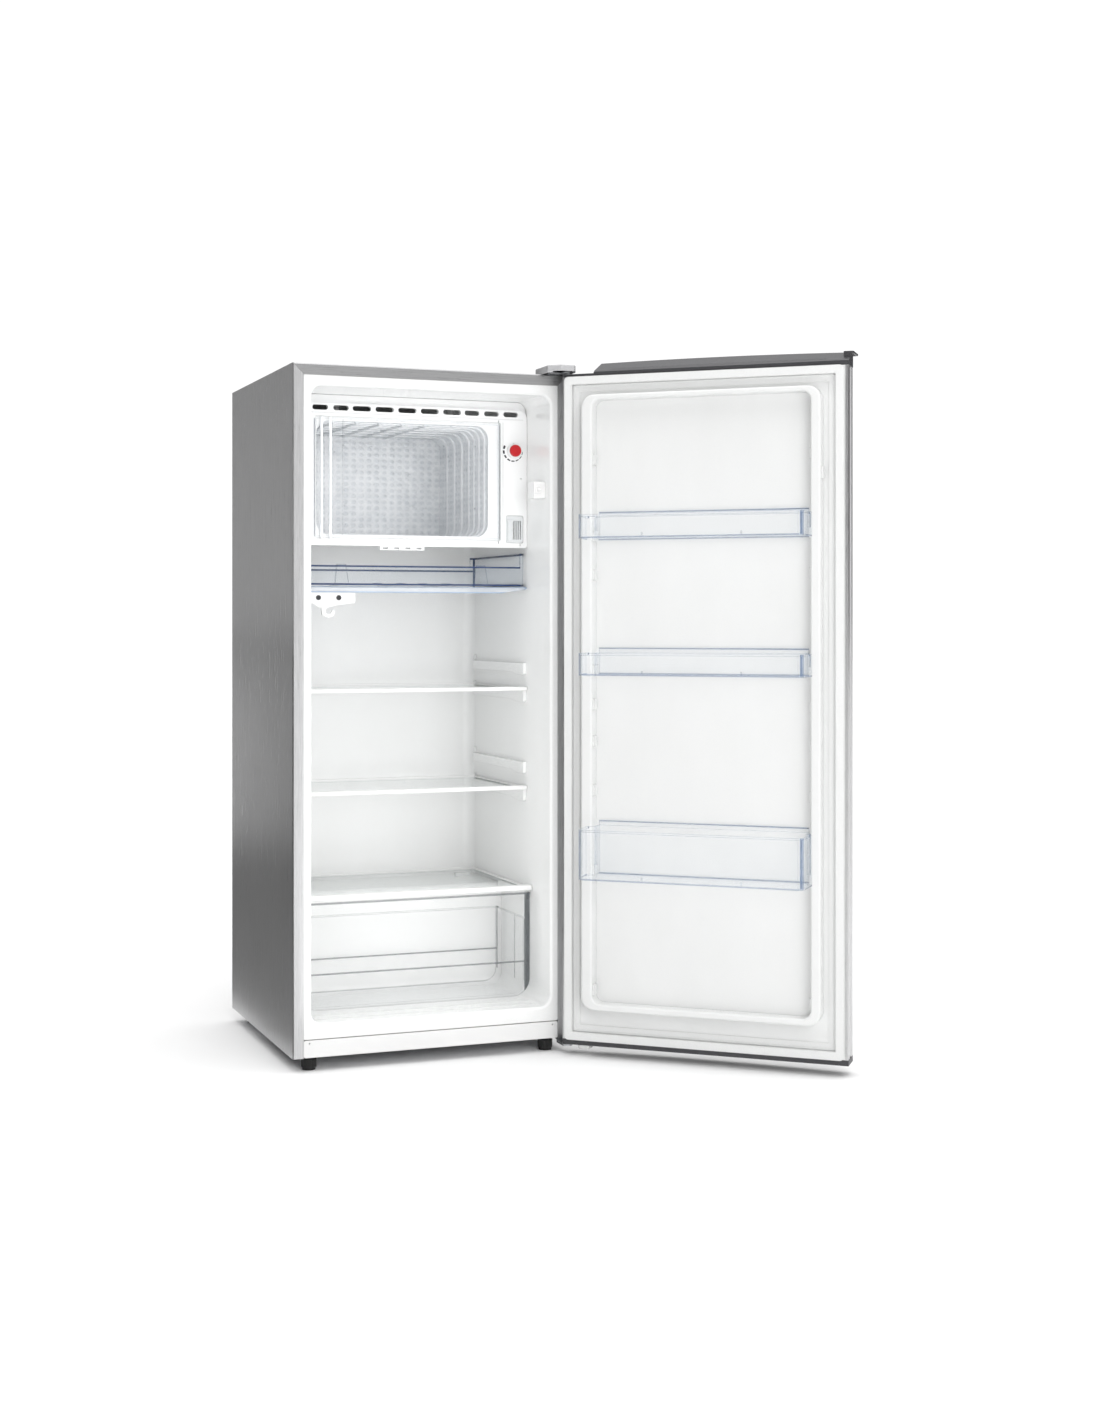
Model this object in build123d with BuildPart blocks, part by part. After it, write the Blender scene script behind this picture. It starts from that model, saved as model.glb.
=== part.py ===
"""A single-door mini fridge with an ice box, modelled as separate named pieces.

Units are millimetres. The origin is on the floor under the middle of the cabinet, the front faces -Y and
+Z is up. The door is modelled standing open. Inside this file every position is given in cabinet
coordinates: x from the left side of the cabinet, y behind its front plane, z above its bottom edge.
Door pieces use the same coordinates as if the door were shut.
"""

import os
from math import cos, pi, sin

from build123d import *

os.makedirs("parts", exist_ok=True)

# ---------------------------------------------------------------- driving dimensions
WIDTH = 530.0
DEPTH = 492.0
HEIGHT = 1242.0
FOOT_HEIGHT = 25.0
SHEET = 1.0
FLANGE = 20.0

CAVITY_LEFT = 35.0
CAVITY_RIGHT = 495.0
CAVITY_FLOOR = 60.0
CAVITY_TOP = 1203.0
CAVITY_BACK = 437.0
CAVITY_RADIUS = 20.0
HUMP_FRONT = 262.0
HUMP_TOP = 258.0
LINER_WALL = 1.5
LEDGE_REACH = 7.0

BAY_FRONT = 295.0
BAY_TOP = 226.0

PIVOT_X = 522.0
PIVOT_Y = -24.0
OPEN_ANGLE = 139.4
DOOR_INNER = -12.0
DOOR_EDGE = -57.0
DOOR_BULGE = -70.0
DIKE_TOP = 16.0

FRAME_FRONT = 120.0
SHELF_TOPS = (647.0, 456.0)
SHELF_PITCH = 53.0
COVER_LEDGE = 265.0

# ---------------------------------------------------------------- where the pieces are placed
CABINET = Location((-WIDTH / 2, -DEPTH / 2, FOOT_HEIGHT))
HINGE = Location((PIVOT_X - WIDTH / 2, PIVOT_Y - DEPTH / 2, FOOT_HEIGHT), (0, 0, OPEN_ANGLE))
DOOR = HINGE * Location((-PIVOT_X, -PIVOT_Y, 0))
INWARD = Axis((0, 0, 0), (-sin(OPEN_ANGLE * pi / 180), cos(OPEN_ANGLE * pi / 180), 0))
UPRIGHT = Location((0, 0, 0), (90, 0, 0))
QUARTER = Location((0, 0, 0), (0, 0, 90))


def level(z, base=CABINET):
    """A flat sketch plane at height z: sketch x is x, sketch y is y."""
    return Plane(base * Location((0, 0, z)))


def front(y, base=CABINET):
    """An upright sketch plane at depth y seen from the front: sketch x is x, sketch y is z."""
    return Plane(base * Location((0, y, 0)) * UPRIGHT)


def side(x, base=CABINET):
    """An upright sketch plane at x seen from the right: sketch x is y, sketch y is z."""
    return Plane(base * Location((x, 0, 0)) * QUARTER * UPRIGHT)


def block(x0, x1, y0, y1, z0, z1, base=CABINET, mode=Mode.ADD):
    """A box given by its six faces."""
    middle = Location(((x0 + x1) / 2, (y0 + y1) / 2, (z0 + z1) / 2))
    with Locations(base * middle):
        Box(x1 - x0, y1 - y0, z1 - z0, mode=mode)


def post(x, y, z0, z1, radius, base=CABINET, mode=Mode.ADD):
    """A cylinder standing upright."""
    with Locations(base * Location((x, y, (z0 + z1) / 2))):
        Cylinder(radius, z1 - z0, mode=mode)


def pin(x, z, y0, y1, radius, base=CABINET, mode=Mode.ADD):
    """A cylinder lying front to back."""
    with Locations(base * Location((x, (y0 + y1) / 2, z)) * UPRIGHT):
        Cylinder(radius, y1 - y0, mode=mode)


def bar(y, z, x0, x1, radius, base=CABINET, mode=Mode.ADD):
    """A cylinder lying left to right."""
    with Locations(base * Location(((x0 + x1) / 2, y, z)) * QUARTER * UPRIGHT):
        Cylinder(radius, x1 - x0, mode=mode)


def window(x0, x1, z0, z1, radius=0.0, mode=Mode.ADD):
    """A rectangle in a sketch, given by its edges, with rounded corners when a radius is given."""
    with Locations(((x0 + x1) / 2, (z0 + z1) / 2)):
        if radius > 0:
            RectangleRounded(x1 - x0, z1 - z0, radius, mode=mode)
        else:
            Rectangle(x1 - x0, z1 - z0, mode=mode)


def save(builder, name):
    """Labels a finished piece and writes its file."""
    builder.part.label = name
    export_step(builder.part, "parts/" + name + ".step")


# ---------------------------------------------------------------- cabinet shell
REAR_SCREW_HEIGHTS = (262.0, 560.0, 860.0, 1190.0)
REAR_SCREW_INSET = 9.0

with BuildPart() as side_panel_left:
    with BuildSketch(level(0)) as side_section:
        with BuildLine():
            Polyline(
                (0, 0), (FLANGE, 0), (FLANGE, 9), (FLANGE - 1, 9), (FLANGE - 1, 1), (1, 1),
                (1, 489.4), (15, 489.4), (15, 490.4), (0, 490.4), (0, 0),
            )
        make_face()
        fillet(side_section.vertices().group_by(Axis.Y)[0].sort_by(Axis.X)[0], 3)
    extrude(amount=HEIGHT)
    with BuildSketch(front(10)):
        with BuildLine():
            Polyline(
                (1, HEIGHT - 1), (FLANGE + 1, HEIGHT - FLANGE - 1), (FLANGE + 1, HEIGHT + 1),
                (1, HEIGHT + 1), (1, HEIGHT - 1),
            )
        make_face()
    extrude(amount=11, mode=Mode.SUBTRACT)
    for height in REAR_SCREW_HEIGHTS:
        pin(REAR_SCREW_INSET, height, 488, 491, 1.7, mode=Mode.SUBTRACT)
save(side_panel_left, "side_panel_left")

with BuildPart() as side_panel_right:
    mirror(side_panel_left.part, about=Plane.YZ)
save(side_panel_right, "side_panel_right")

with BuildPart() as top_panel:
    with BuildSketch(side(SHEET + 0.1)) as top_section:
        with BuildLine():
            Polyline(
                (0, HEIGHT), (0, HEIGHT - FLANGE), (9, HEIGHT - FLANGE), (9, HEIGHT - FLANGE + 1),
                (1, HEIGHT - FLANGE + 1), (1, HEIGHT - 1), (489.2, HEIGHT - 1), (489.2, HEIGHT), (0, HEIGHT),
            )
        make_face()
        fillet(top_section.vertices().group_by(Axis.Y)[-1].sort_by(Axis.X)[0], 3)
    extrude(amount=WIDTH - 2 * SHEET - 0.2)
    with BuildSketch(front(10)):
        with BuildLine():
            Polyline(
                (0, HEIGHT + 0.4), (FLANGE + 1.4, HEIGHT - FLANGE - 1), (0, HEIGHT - FLANGE - 1),
                (0, HEIGHT + 0.4),
            )
        make_face()
        with BuildLine():
            Polyline(
                (WIDTH, HEIGHT + 0.4), (WIDTH - FLANGE - 1.4, HEIGHT - FLANGE - 1),
                (WIDTH, HEIGHT - FLANGE - 1), (WIDTH, HEIGHT + 0.4),
            )
        make_face()
    extrude(amount=11, mode=Mode.SUBTRACT)
    for y in (11.0, 25.0):
        post(500, y, HEIGHT - 3, HEIGHT + 1, 2.6, mode=Mode.SUBTRACT)
save(top_panel, "top_panel")

with BuildPart() as back_panel:
    with BuildSketch(front(492)):
        window(0.5, WIDTH - 0.5, BAY_TOP + 2, HEIGHT - 0.5, 2)
    extrude(amount=1.5)
    with BuildSketch(front(492)):
        for x in (150.0, 380.0):
            with Locations((x, 735)):
                RectangleRounded(170, 820, 20)
    extrude(amount=0.6, mode=Mode.SUBTRACT)
    with BuildSketch(front(492)):
        with Locations((265, 735)):
            SlotOverall(820, 12, rotation=90)
    extrude(amount=0.6, mode=Mode.SUBTRACT)
    for height in REAR_SCREW_HEIGHTS:
        pin(REAR_SCREW_INSET, height, 489, 493, 1.7, mode=Mode.SUBTRACT)
        pin(WIDTH - REAR_SCREW_INSET, height, 489, 493, 1.7, mode=Mode.SUBTRACT)
save(back_panel, "back_panel")

with BuildPart() as bay_panel:
    with BuildSketch(side(1.2)):
        with BuildLine():
            Polyline(
                (BAY_FRONT, 31), (BAY_FRONT, BAY_TOP), (489.2, BAY_TOP), (489.2, BAY_TOP + 1),
                (BAY_FRONT - 1, BAY_TOP + 1), (BAY_FRONT - 1, 31), (BAY_FRONT, 31),
            )
        make_face()
    extrude(amount=WIDTH - 2.4)
save(bay_panel, "bay_panel")

FOOT_FRONT_Y = 26.0
FOOT_REAR_Y = 455.0
FOOT_X = (36.0, 494.0)
HINGE_SCREW_Y = (20.0, 42.0)

with BuildPart() as base_frame:
    block(1.2, WIDTH - 1.2, 9.2, 293.8, 29, 30.8)
    block(1.2, WIDTH - 1.2, 9.2, 10.8, 0, 30)
    block(1.2, WIDTH - 1.2, 9.2, 62, 0, 1.8)
    block(1.2, 2.8, 9.2, 298, 0, 30)
    block(WIDTH - 2.8, WIDTH - 1.2, 9.2, 298, 0, 30)
    for x in FOOT_X:
        post(x, FOOT_FRONT_Y, 1.8, 8, 8)
        post(x, FOOT_FRONT_Y, -1, 9, 4.05, mode=Mode.SUBTRACT)
    for y in HINGE_SCREW_Y:
        post(518.5, y, 1.8, 8, 5)
        post(518.5, y, -1, 9, 2.6, mode=Mode.SUBTRACT)
save(base_frame, "base_frame")

with BuildPart() as kick_plate:
    with BuildSketch(front(9)):
        window(FLANGE + 0.5, WIDTH - FLANGE - 0.5, 0.5, 31.5, 3)
    extrude(amount=8.4)
    with BuildSketch(front(9)):
        window(FLANGE + 2.5, WIDTH - FLANGE - 2.5, 2.5, 29.5, 2)
    extrude(amount=6.4, mode=Mode.SUBTRACT)
    for x in (31.0, 499.0):
        pin(x, 26, 0, 3, 1.4, mode=Mode.SUBTRACT)
save(kick_plate, "kick_plate")


def liner_hollow(name, grow):
    """The inside of the liner grown by its wall, from the front plane back, with the step over the bay."""
    with BuildPart() as hollow:
        with BuildSketch(side(CAVITY_LEFT - grow)) as outline:
            with BuildLine():
                Polyline(
                    (-1, CAVITY_FLOOR - grow), (HUMP_FRONT + grow, CAVITY_FLOOR - grow),
                    (HUMP_FRONT + grow, HUMP_TOP - grow), (CAVITY_BACK + grow, HUMP_TOP - grow),
                    (CAVITY_BACK + grow, CAVITY_TOP + grow), (-1, CAVITY_TOP + grow), (-1, CAVITY_FLOOR - grow),
                )
            make_face()
            corners = outline.vertices().group_by(Axis.X)
            fillet(corners[1] + corners[2], 14)
        extrude(amount=CAVITY_RIGHT - CAVITY_LEFT + 2 * grow)
        with BuildSketch(front(CAVITY_BACK + 5)):
            window(
                CAVITY_LEFT - grow, CAVITY_RIGHT + grow, CAVITY_FLOOR - grow, CAVITY_TOP + grow,
                CAVITY_RADIUS + grow,
            )
        extrude(amount=CAVITY_BACK + 10, mode=Mode.INTERSECT)
        with BuildSketch(level(0)) as plan:
            window(CAVITY_LEFT - grow, CAVITY_RIGHT + grow, -1, CAVITY_BACK + grow)
            fillet(plan.vertices().group_by(Axis.Y)[-1], CAVITY_RADIUS + grow)
        extrude(amount=HEIGHT, mode=Mode.INTERSECT)
    hollow.part.label = name
    return hollow.part


outer_hollow = liner_hollow("liner outside", LINER_WALL)
inner_hollow = liner_hollow("liner inside", 0.0)


def ledge(z_top, y_front, y_back, height, droop):
    """A shelf ledge on both side walls, with its lower edge dipping at the front."""
    for x in (CAVITY_LEFT - 0.5, CAVITY_RIGHT - LEDGE_REACH):
        with BuildSketch(side(x)) as rib:
            with BuildLine():
                Polyline(
                    (y_front, z_top), (y_back, z_top), (y_back, z_top - height),
                    (y_front + 70, z_top - height), (y_front + 30, z_top - height - droop),
                    (y_front, z_top - height - droop), (y_front, z_top),
                )
            make_face()
            fillet(rib.vertices().group_by(Axis.X)[0].sort_by(Axis.Y)[0], 5)
            fillet(rib.vertices().group_by(Axis.X)[-1].sort_by(Axis.Y)[0], 5)
        yield rib.sketch


with BuildPart() as inner_liner:
    add(outer_hollow)
    block(0, WIDTH, -5, 1, 0, HEIGHT, mode=Mode.SUBTRACT)
    with BuildSketch(front(9)):
        window(FLANGE + 0.2, WIDTH - FLANGE - 0.2, 33, HEIGHT - FLANGE - 0.2, 2)
    extrude(amount=8)
    add(inner_hollow, mode=Mode.SUBTRACT)
    rim = inner_liner.edges().filter_by_position(
        Axis.Y, 1 - DEPTH / 2 - 0.01, 1 - DEPTH / 2 + 0.01
    ).filter_by(
        lambda edge: abs(edge.center().X) < (CAVITY_RIGHT - CAVITY_LEFT) / 2 + 1
        and CAVITY_FLOOR - 1 < edge.center().Z - FOOT_HEIGHT < CAVITY_TOP + 1
    )
    fillet(rim, 5)
    for shelf_top in SHELF_TOPS:
        for step in (0.0, SHELF_PITCH):
            for rib in ledge(shelf_top + step, 125, 412, 18, 5):
                extrude(rib, amount=LEDGE_REACH + 0.5)
        for step in (4.0, SHELF_PITCH + 5.0):
            for x in (CAVITY_LEFT - 0.5, CAVITY_RIGHT - 5):
                block(x, x + 5.5, 408, 412, shelf_top + step - 5, shelf_top + step + 7)
    for rib in ledge(COVER_LEDGE, 104, HUMP_FRONT, 16, 3):
        extrude(rib, amount=LEDGE_REACH + 0.5)
    for x in (60.0, 440.0):
        block(x, x + 30, 380, 392, HUMP_TOP - 0.5, COVER_LEDGE)
    for y in (33.0, 68.0):
        block(CAVITY_LEFT + 14, CAVITY_RIGHT - 14, y, y + 3, CAVITY_FLOOR - 0.5, CAVITY_FLOOR + 1.2)
save(inner_liner, "inner_liner")

with BuildPart() as cabinet_foam:
    block(1.2, WIDTH - 1.2, 9.1, 489.2, 31.2, HEIGHT - 1.2)
    block(0, WIDTH, BAY_FRONT - 1.2, 495, 0, BAY_TOP + 1.2, mode=Mode.SUBTRACT)
    add(outer_hollow, mode=Mode.SUBTRACT)
    for x in (REAR_SCREW_INSET, WIDTH - REAR_SCREW_INSET):
        for height in REAR_SCREW_HEIGHTS:
            pin(x, height, 480, 490, 4, mode=Mode.SUBTRACT)
    for y in (11.0, 25.0):
        post(500, y, HEIGHT - 16, HEIGHT, 5, mode=Mode.SUBTRACT)
save(cabinet_foam, "cabinet_foam")


# ---------------------------------------------------------------- feet and hinges
def levelling_foot(name, x):
    """A screw foot: ribbed pad with a threaded stud."""
    with BuildPart() as foot:
        post(x, FOOT_FRONT_Y, -FOOT_HEIGHT, -FOOT_HEIGHT + 5, 12)
        post(x, FOOT_FRONT_Y, -FOOT_HEIGHT + 5, -6, 14)
        for turn in range(18):
            angle = turn * 2 * pi / 18
            post(
                x + 14.2 * cos(angle), FOOT_FRONT_Y + 14.2 * sin(angle), -FOOT_HEIGHT + 6, -5, 1.1,
                mode=Mode.SUBTRACT,
            )
        post(x, FOOT_FRONT_Y, -6, -0.4, 9)
        post(x, FOOT_FRONT_Y, -0.4, 14, 4)
        chamfer(foot.edges().group_by(Axis.Z)[-1], 0.8)
    save(foot, name)


levelling_foot("front_foot_left", FOOT_X[0])
levelling_foot("front_foot_right", FOOT_X[1])

with BuildPart() as rear_feet:
    for x in FOOT_X:
        post(x, FOOT_REAR_Y, -FOOT_HEIGHT, -FOOT_HEIGHT + 6, 12)
        post(x, FOOT_REAR_Y, -FOOT_HEIGHT + 6, 0, 14)
        post(x, FOOT_REAR_Y, 0, 6, 3.9)
save(rear_feet, "rear_feet")

with BuildPart() as top_hinge_bracket:
    block(486, 526.5, -12, 30, HEIGHT, HEIGHT + 3)
    post(PIVOT_X - 4, PIVOT_Y, HEIGHT, HEIGHT + 3, 8.5)
    block(509.5, 526.5, PIVOT_Y, -12, HEIGHT, HEIGHT + 3)
    block(486, 508, -12.5, -11, HEIGHT, HEIGHT + 3)
    post(PIVOT_X, PIVOT_Y, HEIGHT - 14, HEIGHT + 3, 4)
    for y in (11.0, 25.0):
        post(500, y, HEIGHT - 1, HEIGHT + 4, 2.6, mode=Mode.SUBTRACT)
save(top_hinge_bracket, "top_hinge_bracket")

with BuildPart() as cabinet_screws:
    for height in REAR_SCREW_HEIGHTS:
        for x in (REAR_SCREW_INSET, WIDTH - REAR_SCREW_INSET):
            pin(x, height, 481, 492, 1.6)
            pin(x, height, 492, 493.8, 3.6)
            block(x - 2.2, x + 2.2, 493.0, 494.5, height - 0.4, height + 0.4, mode=Mode.SUBTRACT)
            block(x - 0.4, x + 0.4, 493.0, 494.5, height - 2.2, height + 2.2, mode=Mode.SUBTRACT)
    for y in (11.0, 25.0):
        post(500, y, HEIGHT - 14, HEIGHT + 3, 2.5)
        post(500, y, HEIGHT + 3, HEIGHT + 6, 5)
        block(499.5, 500.5, y - 3, y + 3, HEIGHT + 5, HEIGHT + 7, mode=Mode.SUBTRACT)
        block(497, 503, y - 0.5, y + 0.5, HEIGHT + 5, HEIGHT + 7, mode=Mode.SUBTRACT)
    for y in HINGE_SCREW_Y:
        post(518.5, y, -3, 12, 2.5)
        post(518.5, y, -6, -3, 5)
        block(518, 519, y - 3, y + 3, -7, -5, mode=Mode.SUBTRACT)
        block(515.5, 521.5, y - 0.5, y + 0.5, -7, -5, mode=Mode.SUBTRACT)
save(cabinet_screws, "cabinet_screws")


def hinge_cover_outline(inset):
    """The plan of the hinge cover: square at the back, slanted at the front left."""
    with BuildSketch() as outline:
        with BuildLine():
            Polyline(
                (478 + inset, 36 - inset), (529 - inset, 36 - inset), (529 - inset, -40 + inset * 0.6),
                (524 - inset * 0.6, -46 + inset), (498 + inset * 0.6, -46 + inset),
                (478 + inset, -28 + inset * 0.4), (478 + inset, 36 - inset),
            )
        make_face()
    return outline.sketch


with BuildPart() as top_hinge_cover:
    with BuildSketch(level(HEIGHT + 0.2)) as cover_plan:
        add(hinge_cover_outline(0))
        fillet(cover_plan.vertices(), 3)
    extrude(amount=13.8)
    fillet(top_hinge_cover.faces().sort_by(Axis.Z)[-1].edges(), 2.5)
    with BuildSketch(level(HEIGHT)):
        add(hinge_cover_outline(2.2))
    extrude(amount=11, mode=Mode.SUBTRACT)
    block(486, 528.5, -48, -10, HEIGHT, HEIGHT + 2.5, mode=Mode.SUBTRACT)
save(top_hinge_cover, "top_hinge_cover")

with BuildPart() as lower_hinge_bracket:
    block(509, 528, 4, 60, -3, 0)
    block(509, 528, 1, 5, -9, 0)
    block(509, 528, PIVOT_Y, 5, -9, -6)
    with BuildSketch(level(-9)):
        with Locations((PIVOT_X - 3.5, PIVOT_Y)):
            Circle(9.5)
    extrude(amount=3)
    post(PIVOT_X, PIVOT_Y, -9, 8, 4)
    for y in HINGE_SCREW_Y:
        post(518.5, y, -4, 1, 2.6, mode=Mode.SUBTRACT)
save(lower_hinge_bracket, "lower_hinge_bracket")


# ---------------------------------------------------------------- door
def door_face(left, right, edge, bulge, inner):
    """The door's plan between an inner plane and a bulged front."""
    with BuildSketch() as outline:
        with BuildLine():
            Polyline((left, edge), (left, inner), (right, inner), (right, edge))
            ThreePointArc((right, edge), (WIDTH / 2, bulge), (left, edge))
        make_face()
    return outline.sketch


def grip_section(shift):
    """The door's plan with the finger groove along its free edge."""
    with BuildSketch() as outline:
        with BuildLine():
            Polyline(
                (WIDTH - shift, DOOR_EDGE + shift), (WIDTH - shift, DOOR_INNER), (shift, DOOR_INNER),
                (shift, -28), (6 + shift, -31), (6 + shift, -43), (shift, -46), (shift, DOOR_EDGE + shift),
            )
            ThreePointArc(
                (shift, DOOR_EDGE + shift), (WIDTH / 2, DOOR_BULGE + shift), (WIDTH - shift, DOOR_EDGE + shift)
            )
        make_face()
    return outline.sketch


with BuildPart() as door_outer_panel:
    with BuildSketch(level(5, DOOR)):
        add(grip_section(0.0))
    extrude(amount=1229)
    with BuildSketch(level(4, DOOR)):
        add(grip_section(SHEET))
    extrude(amount=1231, mode=Mode.SUBTRACT)
    block(0.5, 4.9, -13, DOOR_INNER, 5, 1234, DOOR)
    block(WIDTH - 4.9, WIDTH - 0.5, -13, DOOR_INNER, 5, 1234, DOOR)
save(door_outer_panel, "door_outer_panel")

with BuildPart() as door_foam:
    with BuildSketch(level(5.2, DOOR)):
        add(door_face(7.2, WIDTH - 1.2, DOOR_EDGE + 1.2, DOOR_BULGE + 1.3, -13.7))
    extrude(amount=1228.6)
    post(PIVOT_X, PIVOT_Y, 4, 12, 6, DOOR, mode=Mode.SUBTRACT)
    post(PIVOT_X, PIVOT_Y, 1224, 1235, 6, DOOR, mode=Mode.SUBTRACT)
save(door_foam, "door_foam")

with BuildPart() as door_top_cap:
    with BuildSketch(level(1234, DOOR)):
        add(door_face(-1.0, WIDTH, DOOR_EDGE, DOOR_BULGE, DOOR_INNER))
    extrude(amount=40)
    with BuildSketch(side(-10, DOOR)):
        with BuildLine():
            Polyline(
                (-5, 1242), (DOOR_INNER - 1, 1242), (DOOR_INNER - 4, 1244.5), (DOOR_BULGE - 2, 1267.4),
                (DOOR_BULGE - 2, 1290), (-5, 1290), (-5, 1242),
            )
        make_face()
    extrude(amount=WIDTH + 20, mode=Mode.SUBTRACT)
    block(470, WIDTH + 1, -75, 0, 1239.5, 1290, DOOR, mode=Mode.SUBTRACT)
    block(6, 464, -53, -17, 1230, 1240, DOOR, mode=Mode.SUBTRACT)
    post(PIVOT_X, PIVOT_Y, 1220, 1245, 6, DOOR, mode=Mode.SUBTRACT)
    with BuildSketch(level(1257.5, DOOR)) as tab:
        window(-6, 12, -84, -30)
        fillet(tab.vertices(), 4)
    extrude(amount=3)
    with BuildSketch(side(-1, DOOR)):
        with BuildLine():
            Polyline((-30, 1250), (-30, 1260.5), (-84, 1260.5), (-84, 1257.5), (-57, 1254), (-30, 1250))
        make_face()
    extrude(amount=12)
    for y in (-26.0, -22.0, -18.0):
        block(40, 440, y - 0.4, y + 0.4, 1240.5, 1243.0 + (DOOR_INNER - y) * 0.4, DOOR, mode=Mode.SUBTRACT)
save(door_top_cap, "door_top_cap")

with BuildPart() as door_bottom_cap:
    with BuildSketch(level(-5, DOOR)):
        add(door_face(-0.5, WIDTH, DOOR_EDGE, DOOR_BULGE, DOOR_INNER))
    extrude(amount=10)
    block(30, 470, -50, -17, -6, 2, DOOR, mode=Mode.SUBTRACT)
    post(PIVOT_X, PIVOT_Y, -8, 8, 6, DOOR, mode=Mode.SUBTRACT)
    for x in (150.0, 265.0, 380.0):
        block(x - 1.5, x + 1.5, -50.5, -16.5, -4, 3, DOOR)
save(door_bottom_cap, "door_bottom_cap")

with BuildPart() as hinge_bushes:
    for z0, z1 in ((-5.5, 5), (1234, 1241)):
        post(PIVOT_X, PIVOT_Y, z0, z1, 6, DOOR)
        post(PIVOT_X, PIVOT_Y, z0 - 1, z1 + 1, 4.05, DOOR, mode=Mode.SUBTRACT)
save(hinge_bushes, "hinge_bushes")

with BuildPart() as door_stop:
    with BuildSketch(level(-13, DOOR)) as stop_plan:
        window(479, 503, -44, -16)
        fillet(stop_plan.vertices(), 6)
    extrude(amount=8)
    chamfer(door_stop.faces().sort_by(Axis.Z)[0].edges(), 1.5)
    post(491, -30, -14, -5.5, 5, DOOR, mode=Mode.SUBTRACT)
    post(491, -30, -9, -5, 3.5, DOOR)
save(door_stop, "door_stop")

DIKE_LEFT = 44.0
DIKE_RIGHT = 486.0
DIKE_LOW = 66.0
DIKE_HIGH = 1197.0
RECESS_LEFT = 62.0
RECESS_RIGHT = 465.0
RECESS_LOW = 78.0
RECESS_HIGH = 1188.0
BIN_LOWS = (930.0, 683.0, 315.0)
BIN_HEIGHTS = (43.0, 40.0, 90.0)
FREE_KNOBS = (1078.0, 866.0, 628.0, 560.0, 470.0, 103.0)
KNOB_HEIGHT = 20.0

with BuildPart() as door_liner:
    with BuildSketch(front(DOOR_INNER, DOOR)):
        window(DIKE_LEFT, DIKE_RIGHT, DIKE_LOW, DIKE_HIGH, 24)
        window(RECESS_LEFT, RECESS_RIGHT, RECESS_LOW, RECESS_HIGH, 16, mode=Mode.SUBTRACT)
    extrude(amount=DOOR_INNER - DIKE_TOP)
    fillet(door_liner.faces().sort_by(INWARD)[-1].edges(), 4)
    with BuildSketch(front(DOOR_INNER + 0.1, DOOR)):
        window(DIKE_LEFT + 2, DIKE_RIGHT - 2, DIKE_LOW + 2, DIKE_HIGH - 2, 22)
        window(RECESS_LEFT - 2, RECESS_RIGHT + 2, RECESS_LOW - 2, RECESS_HIGH + 2, 18, mode=Mode.SUBTRACT)
    extrude(amount=-22, mode=Mode.SUBTRACT)
    block(5, WIDTH - 5, -13.5, DOOR_INNER, 5.2, 1233.8, DOOR)
    for z_knob in [low - 3 for low in BIN_LOWS] + [low - KNOB_HEIGHT / 2 for low in FREE_KNOBS]:
        for x in (RECESS_LEFT - 0.5, RECESS_RIGHT - 3.5):
            block(x, x + 4, -6, 9, z_knob, z_knob + KNOB_HEIGHT, DOOR)
    block(DIKE_LEFT - 3.5, DIKE_LEFT + 0.5, -6, 8, 1032, 1054, DOOR)
save(door_liner, "door_liner")


def gasket_ring(inset, width, y, radius):
    """The outline of one rectangular ring of the door seal, at one depth."""
    with BuildSketch(front(y, DOOR)) as ring:
        window(6 + inset, 524 - inset, 5.6 + inset, 1233.4 - inset, radius)
        window(
            6 + inset + width, 524 - inset - width, 5.6 + inset + width, 1233.4 - inset - width,
            max(radius - width, 1.0), mode=Mode.SUBTRACT,
        )
    return ring.sketch


with BuildPart() as door_gasket:
    for inset, width, y0, y1, radius in (
        (5.0, 23.0, DOOR_INNER, -10.0, 6), (6.5, 4.0, -10.0, -7.0, 6), (16.0, 3.0, -10.0, -8.5, 3),
        (0.0, 15.0, -7.0, -1.6, 8), (1.2, 12.6, -1.6, -0.6, 7),
    ):
        extrude(gasket_ring(inset, width, y1, radius), amount=y1 - y0)
save(door_gasket, "door_gasket")


def bin_outline(inset):
    """The plan of a door bin: a narrow back between the dike walls and a wider front."""
    with BuildSketch() as outline:
        with BuildLine():
            Polyline(
                (68 + inset, -10 + inset), (459 - inset, -10 + inset), (459 - inset, 17.5 + inset * 0.4),
                (474 - inset, 24 + inset * 0.4), (470 - inset, 80 - inset * 0.4),
                (461 - inset * 0.5, 90 - inset), (69 + inset * 0.5, 90 - inset), (60 + inset, 80 - inset * 0.4),
                (57.5 + inset, 24 + inset * 0.4), (68 + inset, 17.5 + inset * 0.4), (68 + inset, -10 + inset),
            )
        make_face()
    return outline.sketch


def door_bin(name, low, height):
    """A clear bin with rolled rim, resting on the knobs by two ears."""
    with BuildPart() as bin_part:
        with BuildSketch(level(low, DOOR)):
            add(bin_outline(0))
        extrude(amount=height)
        with BuildSketch(level(low + 2.4, DOOR)):
            add(bin_outline(2.2))
        extrude(amount=height, mode=Mode.SUBTRACT)
        with BuildSketch(level(low + height - 3.5, DOOR)):
            add(bin_outline(0))
            window(50, 480, 24, 100, mode=Mode.INTERSECT)
        extrude(amount=3.5)
        with BuildSketch(level(low + height - 4, DOOR)):
            add(bin_outline(3.4))
        extrude(amount=6, mode=Mode.SUBTRACT)
        block(69, 458, -9, -7.6, low + 2, low + height + 9, DOOR)
        ear_low = low - 3 + KNOB_HEIGHT + 0.2
        block(63.5, 70.3, -4, 7, ear_low, low + height - 1, DOOR)
        block(456.7, 461.2, -4, 7, ear_low, low + height - 1, DOOR)
        for x in (170.0, 350.0):
            block(x - 0.8, x + 0.8, 84, 89, low + 2, low + 9, DOOR)
    save(bin_part, name)


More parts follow.
